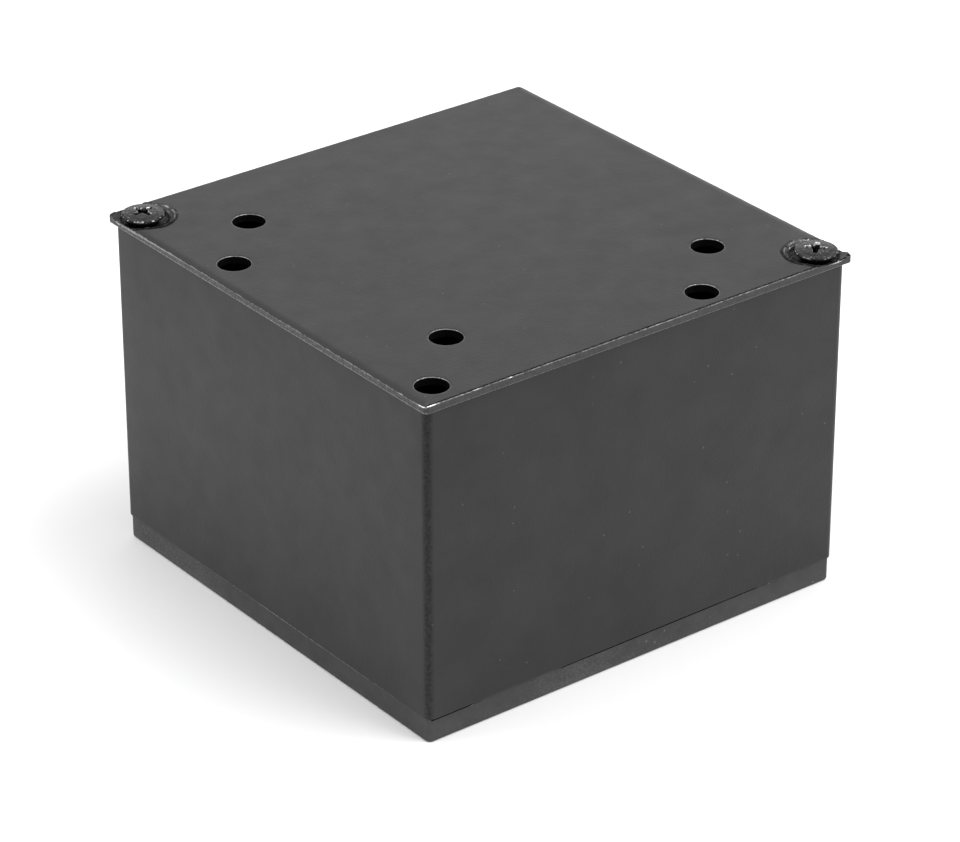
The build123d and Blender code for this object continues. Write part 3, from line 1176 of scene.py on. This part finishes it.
# %% The cap's skirt and ribs
SKIRT_HALF = 47.6
SKIRT_THICKNESS = 1.8
WALL_LENGTH = 81.3
RIB_COUNT = 3
RIB_WIDTH = 1.4
RIB_DEPTH = 0.32
RIB_DROP = 2.3


def standing_box(tree, sizes, y, foot):
    """A box of these three sizes that stands at a height, centred over a place on the Y axis."""
    box = add_node(tree, "GeometryNodeMeshCube", {"Size": add_vector(tree, *sizes)})
    middle = add_math(tree, "ADD", foot, half_of(tree, sizes[2]))
    return moved(tree, box.outputs[0], add_vector(tree, 0.0, y, middle))


skirt_recipe, skirt_in = new_recipe("skirt_walls", [
    "Reach", "Thickness", "Length", "Height", "Foot", "Rib Width", "Rib Depth", "Rib Height",
], ["Rib Count"])
wall_sizes = (skirt_in["Length"], skirt_in["Thickness"], skirt_in["Height"])
wall_middle = add_math(skirt_recipe, "SUBTRACT", skirt_in["Reach"], half_of(skirt_recipe, skirt_in["Thickness"]))
wall = standing_box(skirt_recipe, wall_sizes, wall_middle, skirt_in["Foot"])
rib_sizes = (skirt_in["Rib Width"], skirt_in["Rib Depth"], skirt_in["Rib Height"])
rib_middle = add_math(skirt_recipe, "ADD", skirt_in["Reach"], half_of(skirt_recipe, skirt_in["Rib Depth"]))
rib = standing_box(skirt_recipe, rib_sizes, rib_middle, skirt_in["Foot"])
gaps = add_math(skirt_recipe, "ADD", skirt_in["Rib Count"], 1.0)
rib_step = add_math(skirt_recipe, "DIVIDE", skirt_in["Length"], gaps)
first_rib = add_math(skirt_recipe, "SUBTRACT", rib_step, half_of(skirt_recipe, skirt_in["Length"]))
row_start = add_vector(skirt_recipe, first_rib)
ribs = set_in_row(skirt_recipe, rib, skirt_in["Rib Count"], row_start, add_vector(skirt_recipe, rib_step), (0.0, 0.0))
side = add_node(skirt_recipe, "GeometryNodeJoinGeometry")
skirt_recipe.links.new(wall, side.inputs[0])
skirt_recipe.links.new(ribs, side.inputs[0])
nowhere = (0.0, 0.0, 0.0)
sides = set_in_row(skirt_recipe, side.outputs[0], 4, nowhere, nowhere, (0.0, math.pi / 2))
finish_recipe(skirt_recipe, sides, skirt_in["Paint"])

SKIRT_HEIGHT = cap_high.z - FLANGE_TOP
skirt_mesh = grow(skirt_recipe, {
    "Reach": SKIRT_HALF,
    "Thickness": SKIRT_THICKNESS,
    "Length": WALL_LENGTH,
    "Height": SKIRT_HEIGHT,
    "Foot": FLANGE_TOP,
    "Rib Width": RIB_WIDTH,
    "Rib Depth": RIB_DEPTH,
    "Rib Height": SKIRT_HEIGHT - RIB_DROP,
}, {"Rib Count": RIB_COUNT, "Paint": cap_plastic})
print("skirt:", len(skirt_mesh.polygons), "faces")

# %% The cap's floor ribs
FLOOR_RIB_HALF = 0.7
FLOOR_RIB_HEIGHT = 6.0


def bar_box(half_x, half_y, low, high):
    """Points and faces of an upright box centred on the leg's axis."""
    corners = [(-half_x, -half_y), (half_x, -half_y), (half_x, half_y), (-half_x, half_y)]
    points = [(x, y, z) for z in (low, high) for x, y in corners]
    return points, [(3, 2, 1, 0), (4, 5, 6, 7)] + bridge(0, 4, 4)


rib_top = FLANGE_FLOOR + FLOOR_RIB_HEIGHT
bars = [
    make_mesh("floor_rib", *bar_box(HOLLOW_HALF, FLOOR_RIB_HALF, FLANGE_FLOOR, rib_top)),
    make_mesh("floor_rib", *bar_box(FLOOR_RIB_HALF, HOLLOW_HALF, FLANGE_FLOOR, rib_top)),
]
cap_mesh = joined([flange_mesh, skirt_mesh] + bars, "moulded_cap")
cap_mesh.set_sharp_from_angle(angle=math.radians(40))
set_field(cap_mesh, "scuff", [scuff_amount(vertex.co / MM) for vertex in cap_mesh.vertices])
# painted shadow in the groove under the tube
set_field(cap_mesh, "groove_shadow", [groove_shadow_amount(vertex.co / MM) for vertex in cap_mesh.vertices])
add_piece("moulded_cap", cap_mesh, "base_cap", [cap_plastic])

# %% [markdown]
# ## The screws
# Each screw is a raised countersunk head on a threaded shank. The head is what shows: a low dome with a rounded rim,
# standing proud of its seat, and a cross recess whose edges a driver has rubbed bright. The dome is triangulated round
# the outline of the cross, the recess goes down in rings from that same outline, and the rest is turned about the
# axis. The thread winds round the shank, so it is grown from a spiral. One screw is made, and a recipe sets it twice.

# %% The head and the recess
CROWN = screws_high.z
FACE_RADIUS = 3.72
FACE_DROP = 0.36
RING_RADIUS = 3.35
RING_WIDTH = 0.2
RING_DEPTH = 0.05
RECESS_HALF_SPAN = 2.35
RECESS_HALF_WIDTH = 0.52
RECESS_DEPTH = 2.1
SHANK_RADIUS = 1.5
HEAD_STEPS = 96
FACE_STEP = 0.16                      # between the points of the head's face
FACE_GAP = 0.09                       # at least, between those points and the outline of the recess


def dome_height(radius):
    """Height of the head's face at a distance from its axis, with the ring that the heading die pressed into it."""
    ring = RING_DEPTH * hump(radius - RING_RADIUS, RING_WIDTH)
    return CROWN - FACE_DROP * (radius / FACE_RADIUS) ** 2 - ring


def cross_outline(half_span, half_width, throat):
    """A cross with rounded ends, and corners eased by throat where its wings meet."""
    wing = []
    for step in range(7):
        angle = math.radians(90 - 180 * step / 6)
        wing.append(Vector((half_span - half_width * 0.55 * (1 - math.cos(angle)), half_width * math.sin(angle))))
    wing.reverse()
    outline = []
    for quarter in range(4):
        turn = Matrix.Rotation(math.radians(90 * quarter), 2)
        outline += [turn @ p for p in wing]
        outline.append(turn @ Vector((half_width + throat, half_width + throat * 0.35)))
        outline.append(turn @ Vector((half_width + throat * 0.35, half_width + throat)))
    return outline


levels = [
    # depth, half span, half width, throat
    (0.0, RECESS_HALF_SPAN, RECESS_HALF_WIDTH, 0.42),
    (0.05, RECESS_HALF_SPAN - 0.05, RECESS_HALF_WIDTH - 0.04, 0.4),
    (0.14, RECESS_HALF_SPAN - 0.09, RECESS_HALF_WIDTH - 0.07, 0.37),
    (1.2, RECESS_HALF_SPAN - 0.75, RECESS_HALF_WIDTH - 0.14, 0.2),
    (RECESS_DEPTH, 0.85, RECESS_HALF_WIDTH - 0.22, 0.06),
]
mouth = cross_outline(*levels[0][1:])


def in_cross(place):
    """True inside the mouth of the recess, by counting the outline's edges to one side."""
    inside = False
    for a, b in zip(mouth, mouth[1:] + mouth[:1]):
        if (a.y > place.y) != (b.y > place.y):
            if place.x < a.x + (place.y - a.y) * (b.x - a.x) / (b.y - a.y):
                inside = not inside
    return inside


face = Sheet()
face.add_loop([tuple(p) for p in mouth], 0.0, 0.85)
rim = circle_loop(0, 0, FACE_RADIUS, HEAD_STEPS)
face.add_loop(rim, 0.0)
ring = 0.6
while ring < FACE_RADIUS - 0.1:
    for u, v in circle_loop(0, 0, ring, int(2 * math.pi * ring / FACE_STEP)):
        spot = Vector((u, v))
        if min((spot - p).length for p in mouth) > FACE_GAP and not in_cross(spot):
            face.add(u, v, 0.0)
    ring += FACE_STEP
face_faces = triangles_between(face, lambda place: not in_cross(place))
used = sorted({i for triangle in face_faces for i in triangle})
renumber = {old: new for new, old in enumerate(used)}
points = [(face.flat[i].x, face.flat[i].y, dome_height(face.flat[i].length)) for i in used]
wear = [face.wear[i] for i in used]
faces = [tuple(renumber[i] for i in triangle) for triangle in face_faces]
print("head face:", len(faces), "triangles")

# %% The rest of the screw
above = renumber[face.loops[0][0]]
for depth, half_span, half_width, throat in levels[1:]:
    outline = cross_outline(half_span, half_width, throat)
    above = add_ring(points, faces, above, [(p.x, p.y, dome_height(p.length) - depth) for p in outline])
    wear += [1.15 if depth < 1.0 else 0.4] * len(outline)
deep_from = above - len(mouth)
add_tip(points, faces, above, len(mouth), (0, 0, CROWN - RECESS_DEPTH - 0.35))
wear.append(0.0)
deep_to = len(points)

rim_z = dome_height(FACE_RADIUS)
SCREW_TIP = screws_low.z
NECK = 68.02
DENT = 0.03                           # knocks in the head's rim
RECESS_PAINTED_SHADE = 2.5                     # painted shade deep in the recess
side = [
    # radius, height, wear
    (3.86, rim_z - 0.04, 0.6), (3.98, rim_z - 0.13, 0.82), (4.06, rim_z - 0.26, 0.9), (HEAD_RADIUS, rim_z - 0.42, 0.9),
    (4.08, rim_z - 0.6, 0.45), (4.0, rim_z - 0.76, 0.2), (3.88, rim_z - 0.86, 0.0), (2.42, NECK + 0.7, 0.0),
    (SHANK_RADIUS, NECK, 0.0),
    (SHANK_RADIUS, SCREW_TIP + 3.0, 0.0), (0.3, SCREW_TIP + 0.15, 0.0),
]
above = renumber[face.loops[1][0]]
for radius, height, rub in side:
    ring = []
    for u, v in circle_loop(0, 0, radius, HEAD_STEPS):
        dent = DENT * noise.noise(Vector((u * 1.4, v * 1.4, height))) if 3.9 < radius < HEAD_RADIUS else 0.0
        ring.append((u * (1 - dent), v * (1 - dent), height + dent))
    above = add_ring(points, faces, above, ring)
    wear += [rub] * HEAD_STEPS
add_tip(points, faces, above, HEAD_STEPS, (0, 0, SCREW_TIP))
wear.append(0.0)
screw_mesh = make_mesh("screw_blank", points, faces, 45.0)
screw_mesh.materials.append(screw_steel)
set_field(screw_mesh, "wear", wear)
# painted shade deep in the recess
painted_shade = [RECESS_PAINTED_SHADE if deep_from <= index < deep_to else 0.0 for index in range(len(points))]
set_field(screw_mesh, "painted_shade", painted_shade)
print("screw blank:", len(screw_mesh.vertices), "points")

# %% The thread
THREAD_PITCH = 1.4
THREAD_TOP = 67.4
THREAD_RADIUS = 1.55
THREAD_SIZE = 0.19

thread_recipe, thread_in = new_recipe("wound_thread", ["Turns", "Radius", "Height", "Start", "Ridge"])
spiral = add_node(thread_recipe, "GeometryNodeCurveSpiral", {
    "Resolution": 28, "Rotations": thread_in["Turns"], "Start Radius": thread_in["Radius"],
    "End Radius": thread_in["Radius"], "Height": thread_in["Height"],
})
ridge = add_node(thread_recipe, "GeometryNodeCurvePrimitiveCircle", {"Resolution": 4, "Radius": thread_in["Ridge"]})
wound = swept(thread_recipe, spiral.outputs[0], ridge.outputs[0], capped=True)
lifted = moved(thread_recipe, wound, add_vector(thread_recipe, z=thread_in["Start"]))
finish_recipe(thread_recipe, lifted, thread_in["Paint"])

thread_start = SCREW_TIP + 2.6
thread_mesh = grow(thread_recipe, {
    "Radius": THREAD_RADIUS,
    "Height": THREAD_TOP - thread_start,
    "Start": thread_start,
    "Ridge": THREAD_SIZE,
}, {"Turns": (THREAD_TOP - thread_start) / THREAD_PITCH, "Paint": screw_steel})
print("thread:", len(thread_mesh.polygons), "faces")

# %% Two screws from one
one_screw = joined([screw_mesh, thread_mesh], "one_screw")
pair_recipe, pair_in = new_recipe("screw_places", ["Reach", "First Turn", "Turn Step"])
minus = add_math(pair_recipe, "MULTIPLY", pair_in["Reach"], -1.0)
twice = add_math(pair_recipe, "MULTIPLY", pair_in["Reach"], 2.0)
first_place = add_vector(pair_recipe, minus, pair_in["Reach"])
step = add_vector(pair_recipe, twice, add_math(pair_recipe, "MULTIPLY", twice, -1.0))
turn = (pair_in["First Turn"], pair_in["Turn Step"])
set_twice = set_in_row(pair_recipe, pair_in["Mesh"], 2, first_place, step, turn)
finish_recipe(pair_recipe, set_twice, pair_in["Paint"])

FIRST_TURN = math.radians(8)
SECOND_TURN = math.radians(40)
screws_mesh = grow(pair_recipe, {"Reach": screw_reach}, {
    "First Turn": FIRST_TURN, "Turn Step": SECOND_TURN - FIRST_TURN, "Paint": screw_steel,
}, one_screw)
screws_mesh.set_sharp_from_angle(angle=math.radians(45))
add_piece("plate_screws", screws_mesh, "plate_screw_pair", [screw_steel])
